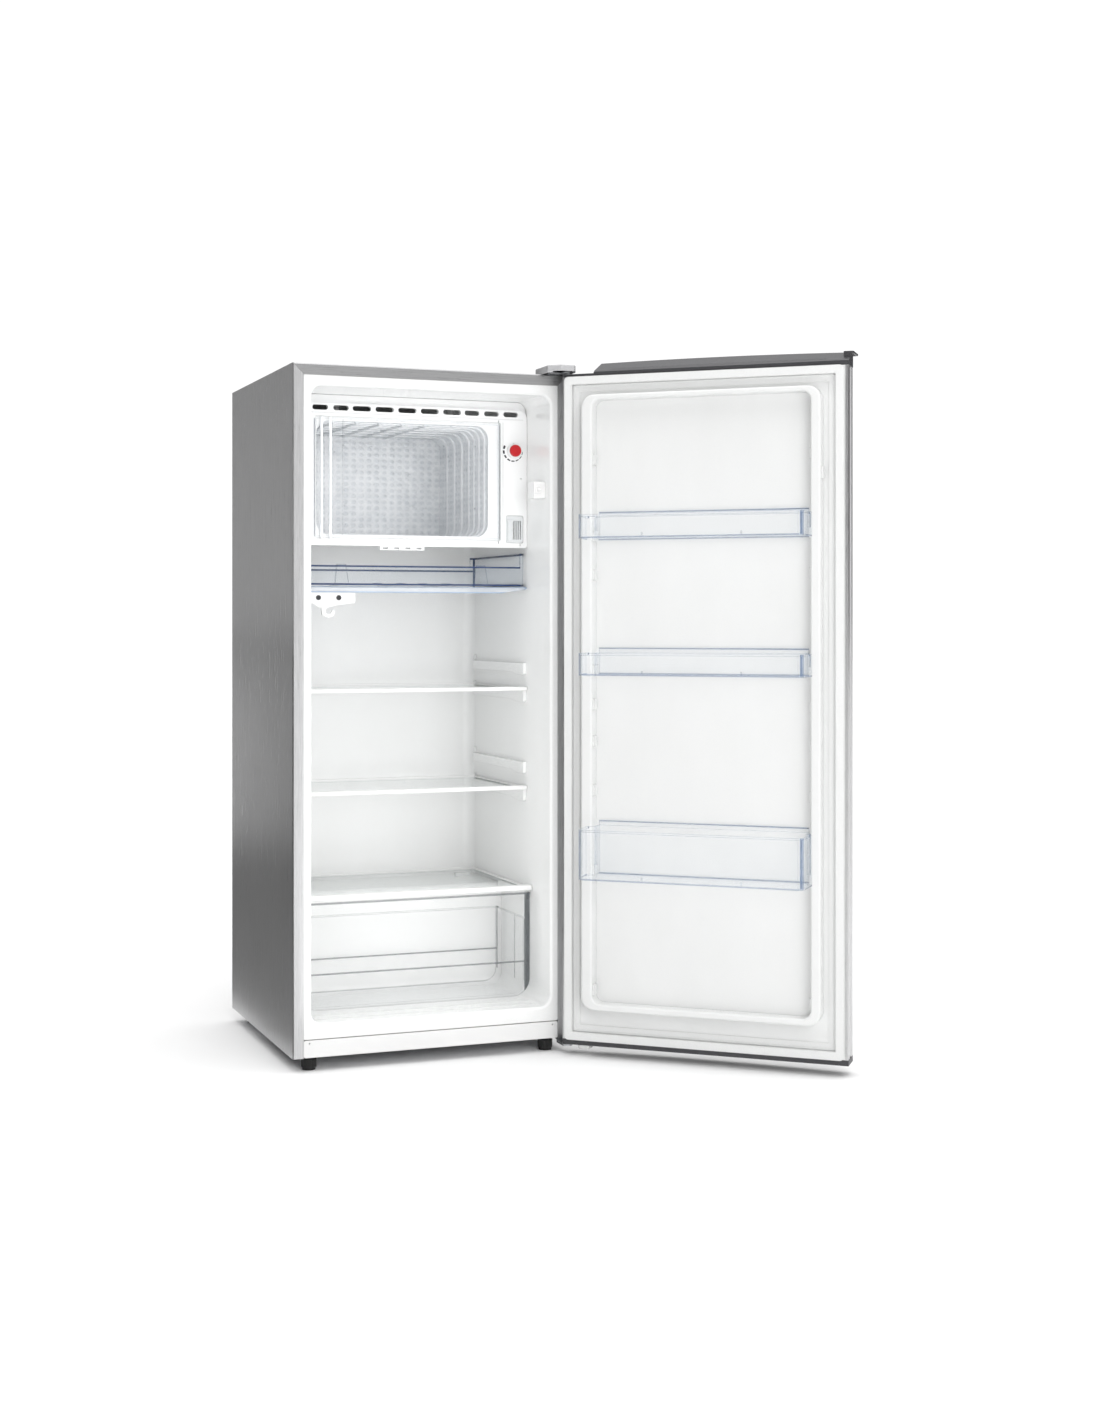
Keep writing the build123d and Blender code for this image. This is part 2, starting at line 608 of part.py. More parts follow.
door_bin("door_bin_top", BIN_LOWS[0], BIN_HEIGHTS[0])
door_bin("door_bin_middle", BIN_LOWS[1], BIN_HEIGHTS[1])
door_bin("door_bin_bottom", BIN_LOWS[2], BIN_HEIGHTS[2])

# ---------------------------------------------------------------- freezer compartment
FLAP_AXIS_X = 436.0
FLAP_AXIS_Y = 122.0
DIAL_X = 466.5
DIAL_Z = 1108.0
SLOT_CENTRES = (83.0, 123.0, 163.5, 208.0, 252.6, 297.2, 341.8, 382.0, 421.5, 461.0)
SLOT_LENGTHS = (30.0, 30.0, 36.0, 36.0, 36.0, 36.0, 36.0, 30.0, 30.0, 30.0)
MOUTH = (77.0, 416.5, 942.0, 1154.0)

with BuildPart() as freezer_frame:
    with BuildSketch(front(129)) as frame_face:
        window(CAVITY_LEFT + 0.5, CAVITY_RIGHT - 0.5, 922, 1187)
        fillet(frame_face.vertices().group_by(Axis.Y)[-1], 16)
        fillet(frame_face.vertices().group_by(Axis.Y)[0], 4)
    extrude(amount=9)
    with BuildSketch(front(129)):
        window(CAVITY_LEFT + 0.5, CAVITY_RIGHT - 0.5, 1150, CAVITY_TOP - 0.5, CAVITY_RADIUS - 0.5)
    extrude(amount=3)
    with BuildSketch(front(126)):
        window(70, 441, 934, 1162, 5)
    extrude(amount=7, mode=Mode.SUBTRACT)
    with BuildSketch(front(130)):
        window(MOUTH[0], MOUTH[1], MOUTH[2], MOUTH[3], 25)
    extrude(amount=11, mode=Mode.SUBTRACT)
    with BuildSketch(front(121)):
        window(50, 486, 1168, 1168.8)
        window(444.6, 445.4, 926, 1162)
    extrude(amount=2, mode=Mode.SUBTRACT)
    for x, length in zip(SLOT_CENTRES, SLOT_LENGTHS):
        with BuildSketch(front(130)):
            with Locations((x, 1178)):
                SlotOverall(length, 9.6)
        extrude(amount=11, mode=Mode.SUBTRACT)
    with BuildSketch(front(130)):
        window(451, 487, 931, 984, 4)
    extrude(amount=11, mode=Mode.SUBTRACT)
    pin(DIAL_X, DIAL_Z, 118, 131, 5.05, mode=Mode.SUBTRACT)
    pin(482, 1055, 118, 123, 1.6, mode=Mode.SUBTRACT)
    pin(480, 927, 118, 123, 1.5, mode=Mode.SUBTRACT)
    post(FLAP_AXIS_X, FLAP_AXIS_Y, 929, 940, 2.06, mode=Mode.SUBTRACT)
    post(FLAP_AXIS_X, FLAP_AXIS_Y, 1156, 1166.5, 2.06, mode=Mode.SUBTRACT)
    block(199, 287, 122, 128, 914.5, 923)
    for x in (210.0, 232.0, 254.0, 276.0):
        block(x - 5, x + 5, 121, 129, 916.5, 919.5, mode=Mode.SUBTRACT)
    block(442, 494, 127, 160, 986, 988.5)
    block(442, 444.5, 127, 160, 932, 988.5)
save(freezer_frame, "freezer_frame")

RIB_DEPTHS = (146.0, 175.0, 204.0, 234.0, 276.0, 320.0, 364.0)

with BuildPart() as evaporator:
    with BuildSketch(front(417)):
        window(MOUTH[0] - 1.8, MOUTH[1] + 1.8, MOUTH[2] - 1.8, MOUTH[3] + 1.8, 26.8)
    extrude(amount=287.8)
    with BuildSketch(front(415)):
        window(MOUTH[0], MOUTH[1], MOUTH[2], MOUTH[3], 25)
    extrude(amount=290, mode=Mode.SUBTRACT)
    for y in RIB_DEPTHS:
        for half, rise in ((4.5, 0.8), (2.8, 1.6)):
            with BuildSketch(front(y + half)):
                window(MOUTH[0] - 1, MOUTH[1] + 1, MOUTH[2] - 1, MOUTH[3] + 1, 26)
                window(
                    MOUTH[0] + rise, MOUTH[1] - rise, MOUTH[2] + rise, MOUTH[3] - rise, 25 - rise,
                    mode=Mode.SUBTRACT,
                )
            extrude(amount=2 * half)
    for x in (115.0, 160.0, 205.0, 250.0, 295.0):
        block(x - 5, x + 5, 136, 404, MOUTH[3] - 1.9, MOUTH[3] + 0.5)
        block(x - 1.4, x + 1.4, 140, 400, MOUTH[3] - 3.4, MOUTH[3] - 1)
save(evaporator, "evaporator")

with BuildPart() as evaporator_hangers:
    for x in (130.0, 360.0):
        for y in (180.0, 380.0):
            post(x, y, MOUTH[3] + 1.8, CAVITY_TOP, 6)
            post(x, y, MOUTH[3] + 1.8, MOUTH[3] + 5, 9)
save(evaporator_hangers, "evaporator_hangers")

with BuildPart() as freezer_door:
    with BuildSketch(front(123.2)):
        window(72, 439, 936, 1160, 5)
    extrude(amount=2.4)
    with BuildSketch(front(120.9)):
        window(72, 439, 936, 1160, 5)
        window(75, 436, 939, 1157, 3, mode=Mode.SUBTRACT)
    extrude(amount=0.8)
    with BuildSketch(front(120.9)):
        window(84, 88, 960, 1136, 1.9)
        window(101, 105, 960, 1136, 1.9)
        window(126, 128.5, 940, 1156, 1.2)
    extrude(amount=1.4)
    post(FLAP_AXIS_X, FLAP_AXIS_Y, 931, 1165, 2)
save(freezer_door, "freezer_door")

with BuildPart() as thermostat_dial:
    pin(DIAL_X, DIAL_Z, 110, 119.6, 13.5)
    chamfer(thermostat_dial.edges().group_by(Axis.Y)[0], 1.2)
    pin(DIAL_X, DIAL_Z, 119.6, 131, 5)
    pin(DIAL_X, DIAL_Z, 109, 117, 11.6, mode=Mode.SUBTRACT)
    pin(DIAL_X, DIAL_Z, 109, 132, 2.05, mode=Mode.SUBTRACT)
    for turn in range(24):
        angle = turn * 2 * pi / 24
        pin(
            DIAL_X + 13.8 * cos(angle), DIAL_Z + 13.8 * sin(angle), 112, 119, 0.8, mode=Mode.SUBTRACT
        )
    block(DIAL_X - 1.2, DIAL_X + 1.2, 113, 118.5, DIAL_Z + 11.7, DIAL_Z + 15.2)
save(thermostat_dial, "thermostat_dial")

with BuildPart() as defrost_button:
    pin(DIAL_X, DIAL_Z, 105, 113.5, 11.5)
    fillet(defrost_button.edges().group_by(Axis.Y)[0], 2.5)
    pin(DIAL_X, DIAL_Z, 113, 127.6, 2)
save(defrost_button, "defrost_button")

with BuildPart() as thermostat_body:
    block(448, 488, 133, 165, 1082, 1134)
    block(455, 478, 131.2, 134, 1096, 1120)
    block(452, 456, 165, 172, 1090, 1100)
    block(466, 470, 165, 172, 1090, 1100)
    block(444, 492, 129, 133.5, 1128, 1134)
    block(444, 492, 129, 133.5, 1082, 1088)
save(thermostat_body, "thermostat_body")

with BuildPart() as lamp_cover:
    block(451.4, 486.6, 121.5, 123.5, 931.4, 983.6)
    fillet(lamp_cover.edges().filter_by(Axis.Y), 4)
    for x in (468.0, 472.5, 477.0, 481.5):
        block(x - 1.2, x + 1.2, 121, 124, 938, 974, mode=Mode.SUBTRACT)
    with BuildSketch(front(121.6)):
        with BuildLine():
            Polyline(
                (455, 935), (463, 935), (463, 968), (467, 972), (467, 976), (453, 976), (455, 968), (455, 935),
            )
        make_face()
    extrude(amount=2.4)
save(lamp_cover, "lamp_cover")

with BuildPart() as lamp_holder:
    post(469, 148, 960, 982, 11)
    post(469, 148, 982, 986, 14)
    post(469, 148, 958, 961, 8.2, mode=Mode.SUBTRACT)
save(lamp_holder, "lamp_holder")

with BuildPart() as lamp_bulb:
    with BuildSketch(Plane(CABINET * Location((469, 148, 0)) * UPRIGHT)):
        with BuildLine():
            Polyline((0, 961), (7, 961), (7, 957), (9, 951))
            Spline((9, 951), (8, 940), (0, 934), tangents=((0.2, -1), (-1, 0)))
            Line((0, 934), (0, 961))
        make_face()
    revolve(axis=Axis((469 - WIDTH / 2, 148 - DEPTH / 2, 0), (0, 0, 1)))
save(lamp_bulb, "lamp_bulb")

SWITCH_X = 480.0
SWITCH_Z = 1029.0

with BuildPart() as switch_housing:
    block(472, 494.9, 26, 58, 1012, 1044)
    fillet(switch_housing.edges().filter_by(Axis.X), 5)
    block(474.5, 485.5, 24, 26.5, 1021, 1037)
    pin(SWITCH_X, SWITCH_Z, 20, 52, 3.56, mode=Mode.SUBTRACT)
save(switch_housing, "switch_housing")

with BuildPart() as switch_plunger:
    pin(SWITCH_X, SWITCH_Z, 12, 46, 3.5)
    fillet(switch_plunger.edges().group_by(Axis.Y)[0], 1.5)
save(switch_plunger, "switch_plunger")

# ---------------------------------------------------------------- chill tray and its support
with BuildPart() as tray_support:
    with BuildSketch(front(130)):
        with BuildLine():
            Polyline((36, 846), (36, 834), (440, 834), (494, 843), (494, 846), (36, 846))
        make_face()
    extrude(amount=10)
    block(42, 488, 122.5, 131, 836.5, 843.5, mode=Mode.SUBTRACT)
    for x in (35.5, 482.5):
        block(x, x + 12, 128, 410, 841, 847.6)
save(tray_support, "tray_support")


with BuildPart() as chill_tray:
    with BuildSketch(level(848)):
        window(42, 490, 115, 402, 14)
    extrude(amount=63)
    with BuildSketch(level(850.2)):
        window(44.2, 487.8, 117.2, 399.8, 12)
    extrude(amount=70, mode=Mode.SUBTRACT)
    block(54, 478, 110, 122, 885, 925, mode=Mode.SUBTRACT)
    block(54, 478, 390, 410, 892, 925, mode=Mode.SUBTRACT)
    for x0, x1 in ((42, 47.5), (484.5, 490)):
        block(x0, x1, 135, 384, 908.6, 911)
    for x0, x1, top0, top1 in ((109, 136, 113, 130), (383, 412, 388, 406)):
        with BuildSketch(front(116)):
            with BuildLine():
                Polyline((x0, 848), (x1, 848), (top1, 887), (top0, 887), (x0, 848))
            make_face()
        extrude(amount=4)
    for x in (197.0, 243.0, 287.0, 333.0):
        post(x, 132, 850, 852.4, 9)
        post(x, 132, 851, 853, 6.5, mode=Mode.SUBTRACT)
    for x in (170.0, 270.0, 370.0):
        block(x - 1, x + 1, 150, 370, 850, 852)
save(chill_tray, "chill_tray")

with BuildPart() as hook_bracket:
    with BuildSketch(front(122)):
        with BuildLine():
            Polyline((48, 834), (150, 834), (150, 815), (116, 811), (86, 803), (68, 814), (48, 818), (48, 834))
        make_face()
    extrude(amount=3)
    block(48, 150, 119, 129, 831, 834)
    for x in (79.0, 118.0):
        pin(x, 824.5, 118, 123, 2.1, mode=Mode.SUBTRACT)
    with BuildSketch(front(122)):
        with BuildLine():
            Polyline(
                (84, 808), (92, 808), (92, 798), (95, 794), (102, 795), (106, 801), (111, 799), (107, 790),
                (97, 787), (86, 792), (84, 808),
            )
        make_face()
    extrude(amount=6)
save(hook_bracket, "hook_bracket")

with BuildPart() as bracket_screws:
    for x in (79.0, 118.0):
        pin(x, 824.5, 119, 128, 2)
        pin(x, 824.5, 116.6, 119, 4.6)
        block(x - 3, x + 3, 116, 117.6, 824, 825, mode=Mode.SUBTRACT)
save(bracket_screws, "bracket_screws")


# ---------------------------------------------------------------- shelves and crisper
def shelf(prefix, ledge_top, y_front, y_back, trim_height):
    """A glass plate with a white front trim and a thin rear trim."""
    low = ledge_top + 0.2
    with BuildPart() as glass:
        with BuildSketch(level(low + 0.3)):
            window(38, 492, y_front + 4, y_back, 3)
        extrude(amount=3.6)
    save(glass, prefix + "_glass")
    with BuildPart() as trim:
        block(36.2, 493.8, y_front, y_front + 14, low, low + trim_height)
        fillet(trim.edges().filter_by(Axis.X).group_by(Axis.Y)[0], 1.6)
        block(37.9, 492.1, y_front + 3.9, y_front + 15, low + 0.3, low + 3.9, mode=Mode.SUBTRACT)
        block(40, 490, y_back - 8, y_back, low + 3.9, low + 7)
        block(36.2, 46, y_front + 8, y_back - 1, low + 3.9, low + 5.2)
        block(484, 493.8, y_front + 8, y_back - 1, low + 3.9, low + 5.2)
    save(trim, prefix + "_trim")


shelf("shelf_upper", SHELF_TOPS[0], 118, 405, 7.0)
shelf("shelf_lower", SHELF_TOPS[1], 118, 405, 7.5)
shelf("crisper_cover", COVER_LEDGE, 93, 410, 9.6)

with BuildPart() as crisper_drawer:
    with BuildSketch(front(97)) as drawer_face:
        window(40, 490, 64, 262)
        fillet(drawer_face.vertices().group_by(Axis.Y)[0], 34)
        fillet(drawer_face.vertices().group_by(Axis.Y)[-1], 4)
    extrude(amount=3)
    with BuildSketch(front(250)) as drawer_box:
        window(50, 480, 66, 214)
        fillet(drawer_box.vertices().group_by(Axis.Y)[0], 26)
    extrude(amount=154)
    with BuildSketch(front(247.6)) as drawer_inside:
        window(52.4, 477.6, 68.4, 230)
        fillet(drawer_inside.vertices().group_by(Axis.Y)[0], 24)
    extrude(amount=150.6, mode=Mode.SUBTRACT)
    block(47.5, 52.4, 97, 250, 211, 214)
    block(477.6, 482.5, 97, 250, 211, 214)
    block(47.5, 482.5, 247.6, 252, 211, 214)
    block(44, 486, 91.6, 94.2, 129, 131.4)
    block(41, 489, 90, 97, 258.6, 262)
    for x in (51.6, 477.0):
        block(x, x + 1.4, 140, 142, 90, 212)
save(crisper_drawer, "crisper_drawer")

# ---------------------------------------------------------------- compressor bay
COMPRESSOR_X = 170.0
COMPRESSOR_Y = 392.0

with BuildPart() as compressor_plate:
    block(1.2, WIDTH - 1.2, 299, 488, 0, 2)
    block(1.2, WIDTH - 1.2, 486, 488, 0, 22)
    block(1.2, 3.2, 299, 488, 0, 30)
    block(WIDTH - 3.2, WIDTH - 1.2, 299, 488, 0, 30)
    for x in FOOT_X:
        post(x, FOOT_REAR_Y, -1, 3, 4, mode=Mode.SUBTRACT)
    for x in (COMPRESSOR_X - 80, COMPRESSOR_X + 80):
        for y in (COMPRESSOR_Y - 55, COMPRESSOR_Y + 55):
            post(x, y, -1, 3, 4.2, mode=Mode.SUBTRACT)
    for x in range(300, 470, 20):
        with BuildSketch(level(-1)):
            with Locations((x, 400)):
                SlotOverall(90, 8, rotation=90)
        extrude(amount=4, mode=Mode.SUBTRACT)
save(compressor_plate, "compressor_plate")

with BuildPart() as compressor:
    with BuildSketch(Plane(CABINET * Location((COMPRESSOR_X, COMPRESSOR_Y, 0)) * UPRIGHT)) as can:
        with BuildLine():
            Polyline((0, 22), (40, 22), (66, 40), (70, 60), (70, 98), (75, 98), (75, 104), (70, 104), (70, 140))
            Spline((70, 140), (55, 168), (0, 182), tangents=((0, 1), (-1, 0)))
            Line((0, 182), (0, 22))
        make_face()
    revolve(axis=Axis((COMPRESSOR_X - WIDTH / 2, COMPRESSOR_Y - DEPTH / 2, 0), (0, 0, 1)))
    with BuildSketch(level(17)) as feet_plate:
        window(COMPRESSOR_X - 95, COMPRESSOR_X + 95, COMPRESSOR_Y - 68, COMPRESSOR_Y + 68)
        fillet(feet_plate.vertices(), 14)
    extrude(amount=3)
    post(COMPRESSOR_X, COMPRESSOR_Y, 19, 30, 38)
    for x in (COMPRESSOR_X - 80, COMPRESSOR_X + 80):
        for y in (COMPRESSOR_Y - 55, COMPRESSOR_Y + 55):
            post(x, y, 10, 24, 7, mode=Mode.SUBTRACT)
    pin(COMPRESSOR_X - 30, 75, COMPRESSOR_Y + 55, COMPRESSOR_Y + 80, 4)
    pin(COMPRESSOR_X + 30, 56, COMPRESSOR_Y + 55, COMPRESSOR_Y + 80, 3.2)
save(compressor, "compressor")

with BuildPart() as compressor_mounts:
    for x in (COMPRESSOR_X - 80, COMPRESSOR_X + 80):
        for y in (COMPRESSOR_Y - 55, COMPRESSOR_Y + 55):
            post(x, y, 2, 17, 11)
            post(x, y, 17, 21, 6.9)
            post(x, y, 20, 24, 10)
            post(x, y, -1, 26, 4.2, mode=Mode.SUBTRACT)
save(compressor_mounts, "compressor_mounts")

with BuildPart() as mount_bolts:
    for x in (COMPRESSOR_X - 80, COMPRESSOR_X + 80):
        for y in (COMPRESSOR_Y - 55, COMPRESSOR_Y + 55):
            post(x, y, -3, 30, 4)
            post(x, y, -5, 0, 7)
            with BuildSketch(level(24)):
                with Locations((x, y)):
                    RegularPolygon(7, 6)
            extrude(amount=5)
save(mount_bolts, "mount_bolts")

with BuildPart() as relay_cover:
    block(246, 284, 366, 420, 70, 132)
    fillet(relay_cover.edges().filter_by(Axis.Y), 6)
    block(241, 248, 380, 405, 80, 97)
    for z in (84.0, 94.0, 104.0, 114.0):
        block(283, 285, 374, 412, z, z + 3, mode=Mode.SUBTRACT)
save(relay_cover, "relay_cover")

with BuildPart() as drain_pan:
    with BuildSketch(level(188)):
        window(90, 255, 330, 480, 14)
    extrude(amount=24)
    with BuildSketch(level(190.4)):
        window(92.2, 252.8, 332.2, 477.8, 12)
    extrude(amount=30, mode=Mode.SUBTRACT)
    for x in (96.0, 243.0):
        block(x, x + 8, 332, 340, 190, 225.9)
        block(x, x + 8, 446, 454, 190, 225.9)
save(drain_pan, "drain_pan")

with BuildPart() as terminal_box:
    block(430, 486, 440, 470, 2, 62)
    fillet(terminal_box.edges().filter_by(Axis.Z), 4)
    pin(458, 34, 469, 472, 11)
    pin(458, 34, 466, 474, 7.2, mode=Mode.SUBTRACT)
save(terminal_box, "terminal_box")

with BuildPart() as cord_gland:
    pin(458, 34, 466.5, 472, 7)
    pin(458, 34, 472, 480, 10)
    pin(458, 34, 466, 482, 4, mode=Mode.SUBTRACT)
save(cord_gland, "cord_gland")

with BuildPart() as filter_drier:
    with BuildSketch(Plane(CABINET * Location((330, 430, 0)) * UPRIGHT)):
        with BuildLine():
            Polyline((0, 60), (3.5, 60), (4, 68), (9, 76), (9, 150), (4, 158), (3.5, 166), (0, 166), (0, 60))
        make_face()
    revolve(axis=Axis((330 - WIDTH / 2, 430 - DEPTH / 2, 0), (0, 0, 1)))
save(filter_drier, "filter_drier")


def tube(radius, points, bend):
    """A bent tube through the given points."""
    places = [(CABINET * Location(point)).position for point in points]
    with BuildPart() as pipe:
        with BuildLine():
            path = FilletPolyline(*places, radius=bend)
        with BuildSketch(Plane(origin=path @ 0, z_dir=path % 0)):
            Circle(radius)
        sweep(path=path)
    return pipe.part


with BuildPart() as refrigerant_tubes:
    add(tube(2.4, [(140, 472.2, 75), (140, 483, 75), (60, 483, 75), (60, 483, 225.8)], 9))
    add(tube(3.0, [(200, 472.2, 56), (200, 483.5, 56), (300, 483.5, 56), (300, 483.5, 225.8)], 9))
    add(tube(2.0, [(330, 430, 166.2), (330, 430, 190), (380, 430, 190), (380, 430, 225.8)], 9))
save(refrigerant_tubes, "refrigerant_tubes")
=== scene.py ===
"""Looks for the mini fridge: every surface's material, the printed dial scale, the lights and the camera.

Lengths are in metres, as in the frame; a value times MM is given in millimetres.
"""

import math

import bpy
from mathutils import Matrix, Vector


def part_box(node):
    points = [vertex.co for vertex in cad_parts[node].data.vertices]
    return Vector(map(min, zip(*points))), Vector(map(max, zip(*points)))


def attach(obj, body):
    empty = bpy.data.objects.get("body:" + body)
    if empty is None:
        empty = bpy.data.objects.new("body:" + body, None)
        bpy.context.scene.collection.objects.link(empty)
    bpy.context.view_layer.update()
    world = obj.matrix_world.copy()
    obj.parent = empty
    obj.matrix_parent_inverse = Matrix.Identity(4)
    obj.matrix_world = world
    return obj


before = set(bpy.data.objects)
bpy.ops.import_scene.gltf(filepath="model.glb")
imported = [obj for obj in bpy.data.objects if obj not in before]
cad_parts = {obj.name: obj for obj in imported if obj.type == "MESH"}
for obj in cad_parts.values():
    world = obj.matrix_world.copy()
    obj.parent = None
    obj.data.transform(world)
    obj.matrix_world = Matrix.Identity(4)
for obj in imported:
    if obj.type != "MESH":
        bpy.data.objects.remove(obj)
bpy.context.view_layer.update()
MM = 0.001
DOOR_OPEN = 139.4  # degrees, at rest

# Upright ribs, where highlights are painted: millimetres from the flap's left edge and behind the ice box's front
# edge, and half of each width.
FLAP_RIBS = (14, 31)
FLAP_RIB_HALF = 2.1
ICE_BOX_RIBS = (16.8, 45.8, 74.8, 104.8, 146.8, 190.8, 234.8)
ICE_BOX_RIB_HALF = 3.0

# The dial's scale: degrees anticlockwise from three o'clock, and millimetres.
SCALE_MARKS = 8
SCALE_START = 150
SCALE_PITCH = 27
SCALE_LENGTH = 19
SCALE_RADIUS = 18.0
SCALE_WIDEST = 4.2
SCALE_NARROWING = 3.2
SCALE_STEPS = 6

WHITE = (1.0, 1.0, 1.0, 1.0)
BACKDROP_BRIGHTNESS = 1.06
CAMERA_PLACE = (-1.1128, -3.5530, 0.8051)
CAMERA_AIM = (0.3515, 0.9362, 0.0)
CAMERA_LENS = 48.27
CAMERA_SHIFT = (0.0352, -0.0629)


def shade(color, factor):
    """The colour made darker or lighter, never past white."""
    return tuple(min(1.0, part * factor) for part in color)


def slab(tree, coordinate, middle, half):
    """One where a coordinate is within half of middle, nought elsewhere."""
    node = tree.nodes.new("ShaderNodeMath")
    node.operation = "COMPARE"
    node.inputs[1].default_value = middle
    node.inputs[2].default_value = half
    tree.links.new(coordinate, node.inputs[0])
    return node.outputs["Value"]


# ---------------------------------------------------------------- node helpers
class Shader:
    """A material under construction: one Principled shader and short ways to feed it."""

    def __init__(self, name, color, roughness, metallic=0.0):
        self.material = bpy.data.materials.new(name)
        self.material.use_nodes = True
        self.nodes = self.material.node_tree.nodes
        self.links = self.material.node_tree.links
        self.principled = self.nodes["Principled BSDF"]
        self.set("Base Color", (*color, 1.0))
        self.set("Roughness", roughness)
        self.set("Metallic", metallic)
        self.place = self.nodes.new("ShaderNodeTexCoord").outputs["Object"]
        self.bumps = None

    def set(self, socket, value):
        self.principled.inputs[socket].default_value = value

    def feed(self, output, socket):
        self.links.new(output, self.principled.inputs[socket])

    def stretched(self, scale):
        """Object coordinates scaled by a different amount each way."""
        node = self.nodes.new("ShaderNodeMapping")
        node.inputs["Scale"].default_value = scale
        self.links.new(self.place, node.inputs["Vector"])
        return node.outputs["Vector"]

    def flattened(self, scale):
        """Scaled object coordinates without their part along the surface's normal, for a pattern on flat walls."""
        size, across, flat = (self.nodes.new("ShaderNodeVectorMath") for _ in range(3))
        size.operation = "ABSOLUTE"
        self.links.new(self.nodes.new("ShaderNodeNewGeometry").outputs["Normal"], size.inputs[0])
        across.operation = "SUBTRACT"
        across.inputs[0].default_value = (1.0, 1.0, 1.0)
        self.links.new(size.outputs["Vector"], across.inputs[1])
        flat.operation = "MULTIPLY"
        self.links.new(self.stretched(scale), flat.inputs[0])
        self.links.new(across.outputs["Vector"], flat.inputs[1])
        return flat.outputs["Vector"]

    def noise(self, scale, detail=3.0, rough=0.55):
        """Noise with a number of cells to the metre along each axis."""
        node = self.nodes.new("ShaderNodeTexNoise")
        node.inputs["Scale"].default_value = 1.0
        node.inputs["Detail"].default_value = detail
        node.inputs["Roughness"].default_value = rough
        self.links.new(self.stretched(scale), node.inputs["Vector"])
        return node.outputs["Fac"]

    def ramp(self, value, low, high, start=0.3, end=0.7):
        """Colours from low to high as value goes from start to end."""
        node = self.nodes.new("ShaderNodeValToRGB")
        node.color_ramp.elements[0].position = start
        node.color_ramp.elements[0].color = (*low, 1.0)
        node.color_ramp.elements[1].position = end
        node.color_ramp.elements[1].color = (*high, 1.0)
        self.links.new(value, node.inputs["Fac"])
        return node.outputs["Color"]

    def span(self, value, from_low, from_high, low, high):
        """A number mapped from one range to another, kept inside it."""
        node = self.nodes.new("ShaderNodeMapRange")
        node.inputs["From Min"].default_value = from_low
        node.inputs["From Max"].default_value = from_high
        node.inputs["To Min"].default_value = low
        node.inputs["To Max"].default_value = high
        self.links.new(value, node.inputs["Value"])
        return node.outputs["Result"]

    def math(self, operation, a, b=None):
        """One arithmetic step; a and b are numbers or other nodes' outputs."""
        node = self.nodes.new("ShaderNodeMath")
        node.operation = operation
        for number, value in enumerate((a, b)):
            if value is None:
                continue
            if isinstance(value, (int, float)):
                node.inputs[number].default_value = value
            else:
                self.links.new(value, node.inputs[number])
        return node.outputs["Value"]

    def rims(self, radius):
        """One along the piece's edges and nought on its faces, by how far a rounded normal leans there."""
        rounded = self.nodes.new("ShaderNodeBevel")
        rounded.samples = 6
        rounded.inputs["Radius"].default_value = radius
        facing = self.nodes.new("ShaderNodeNewGeometry")
        lean = self.nodes.new("ShaderNodeVectorMath")
        lean.operation = "DOT_PRODUCT"
        self.links.new(rounded.outputs["Normal"], lean.inputs[0])
        self.links.new(facing.outputs["Normal"], lean.inputs[1])
        return self.span(self.math("ABSOLUTE", lean.outputs["Value"]), 0.84, 0.985, 1.0, 0.0)

    def outline(self, name, turn, width, corner, levels):
        """One in bands along the edges of a piece's own box, and at some heights of its front; millimetres."""
        spin = Matrix.Rotation(turn, 3, "Z")
        points = [spin @ vertex.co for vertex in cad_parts[name].data.vertices]
        turned = self.nodes.new("ShaderNodeMapping")
        turned.inputs["Rotation"].default_value = (0, 0, turn)
        self.links.new(self.place, turned.inputs["Vector"])
        parts = self.nodes.new("ShaderNodeSeparateXYZ")
        self.links.new(turned.outputs["Vector"], parts.inputs["Vector"])
        lows = [min(point[axis] for point in points) for axis in range(3)]
        highs = [max(point[axis] for point in points) for axis in range(3)]

        def near(axis, reach):
            middle, half = (lows[axis] + highs[axis]) / 2, (highs[axis] - lows[axis]) / 2
            away = self.math("ABSOLUTE", self.math("SUBTRACT", parts.outputs[axis], middle))
            return self.math("GREATER_THAN", away, half - reach * MM)

        sides = self.math("MAXIMUM", near(0, width), near(1, width))
        bands = self.math("MULTIPLY", near(2, width), sides)
        bands = self.math("MAXIMUM", bands, self.math("MULTIPLY", near(0, corner), near(1, corner)))
        for height in levels:
            away = self.math("ABSOLUTE", self.math("SUBTRACT", parts.outputs[2], lows[2] + height * MM))
            level = self.math("MULTIPLY", self.math("LESS_THAN", away, width * 0.5 * MM), near(1, width))
            bands = self.math("MAXIMUM", bands, level)
        return bands

    def mix(self, share, low, high):
        """From colour low to colour high; either may be another node's output."""
        node = self.nodes.new("ShaderNodeMix")
        node.data_type = "RGBA"
        self.links.new(share, node.inputs["Factor"])
        for socket, value in ((node.inputs[6], low), (node.inputs[7], high)):
            if isinstance(value, tuple):
                socket.default_value = (*value, 1.0)
            else:
                self.links.new(value, socket)
        return node.outputs[2]

    def bump(self, height, strength, distance):
        """Adds one more layer of bump on top of those before it."""
        node = self.nodes.new("ShaderNodeBump")
        node.inputs["Strength"].default_value = strength
        node.inputs["Distance"].default_value = distance
        self.links.new(height, node.inputs["Height"])
        if self.bumps is not None:
            self.links.new(self.bumps, node.inputs["Normal"])
        self.bumps = node.outputs["Normal"]
        self.feed(self.bumps, "Normal")


